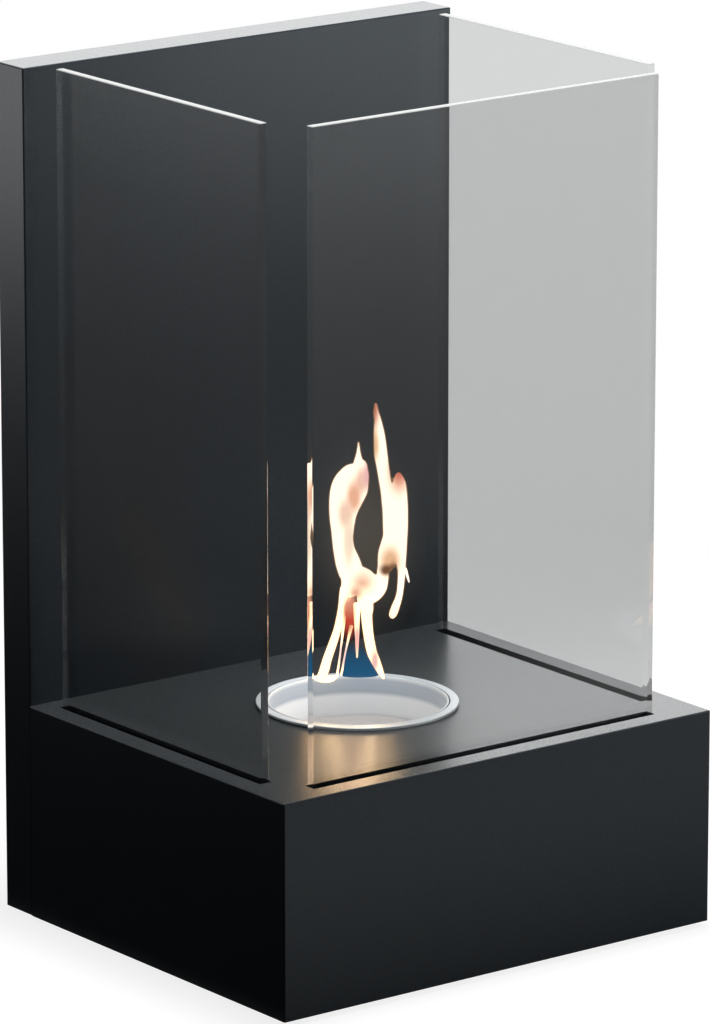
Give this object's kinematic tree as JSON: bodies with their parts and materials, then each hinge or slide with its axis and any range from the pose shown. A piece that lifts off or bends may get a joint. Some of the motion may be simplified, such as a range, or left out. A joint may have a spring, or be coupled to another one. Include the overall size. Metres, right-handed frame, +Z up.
{
  "type": "tabletop bioethanol fireplace",
  "caption": "Tabletop bioethanol fireplace: black steel base with a back panel, glass panes on three sides and a round burner sunk in the top.",
  "frame": {"origin": "on the floor, under the centre of the whole fireplace", "axes": "+Z up, -Y to the front where the front pane is, +X to the right seen from the front"},
  "size_m": [0.3, 0.264, 0.493],
  "materials": {
    "black_coat": "satin black powder coat with a very fine texture",
    "clear_glass": "clear tempered float glass with ground, polished edges",
    "burner_steel": "brushed stainless steel, spun",
    "zinc_steel": "zinc-plated steel, dull",
    "black_screws": "blackened steel, semi-matt",
    "silicone": "black silicone, matt",
    "graphite_seal": "dark heat-resistant sealing sheet, matt",
    "foot_rubber": "black rubber, matt",
    "ceramic_wool": "pale ceramic fibre felt, matt and fibrous"
  },
  "bodies": {
    "frame": {"base_shell": "black_coat", "bottom_plate": "black_coat", "panel_shell": "black_coat", "rear_cover": "black_coat", "cover_rail_left": "zinc_steel", "cover_rail_right": "zinc_steel", "cover_rail_top": "zinc_steel", "cover_rail_bottom": "zinc_steel", "rear_cover_screws": "black_screws", "bottom_screws": "black_screws", "bottom_nuts": "zinc_steel", "channel_left": "black_coat", "channel_right": "black_coat", "channel_front": "black_coat", "channel_nuts": "zinc_steel", "pad_left": "silicone", "pad_right": "silicone", "pad_front": "silicone", "panel_bolts": "zinc_steel", "panel_washers": "zinc_steel", "panel_nuts": "zinc_steel", "burner_sleeve": "burner_steel", "sleeve_gasket": "graphite_seal", "sleeve_spacer": "zinc_steel", "sleeve_screw": "zinc_steel", "feet": "foot_rubber"},
    "left_pane": {"glass_left": "clear_glass"},
    "right_pane": {"glass_right": "clear_glass"},
    "front_pane": {"glass_front": "clear_glass"},
    "burner": {"burner_cup": "burner_steel", "wool_disc": "ceramic_wool"}
  },
  "joints": [
    {"name": "left_pane_lift", "type": "slide", "parent": "frame", "child": "left_pane", "axis": [0, 0, 1], "range_m": [0, 0.06]},
    {"name": "right_pane_lift", "type": "slide", "parent": "frame", "child": "right_pane", "axis": [0, 0, 1], "range_m": [0, 0.06]},
    {"name": "front_pane_lift", "type": "slide", "parent": "frame", "child": "front_pane", "axis": [0, 0, 1], "range_m": [0, 0.06]},
    {"name": "burner_lift", "type": "slide", "parent": "frame", "child": "burner", "axis": [0, 0, 1], "range_m": [0, 0.1]}
  ]
}
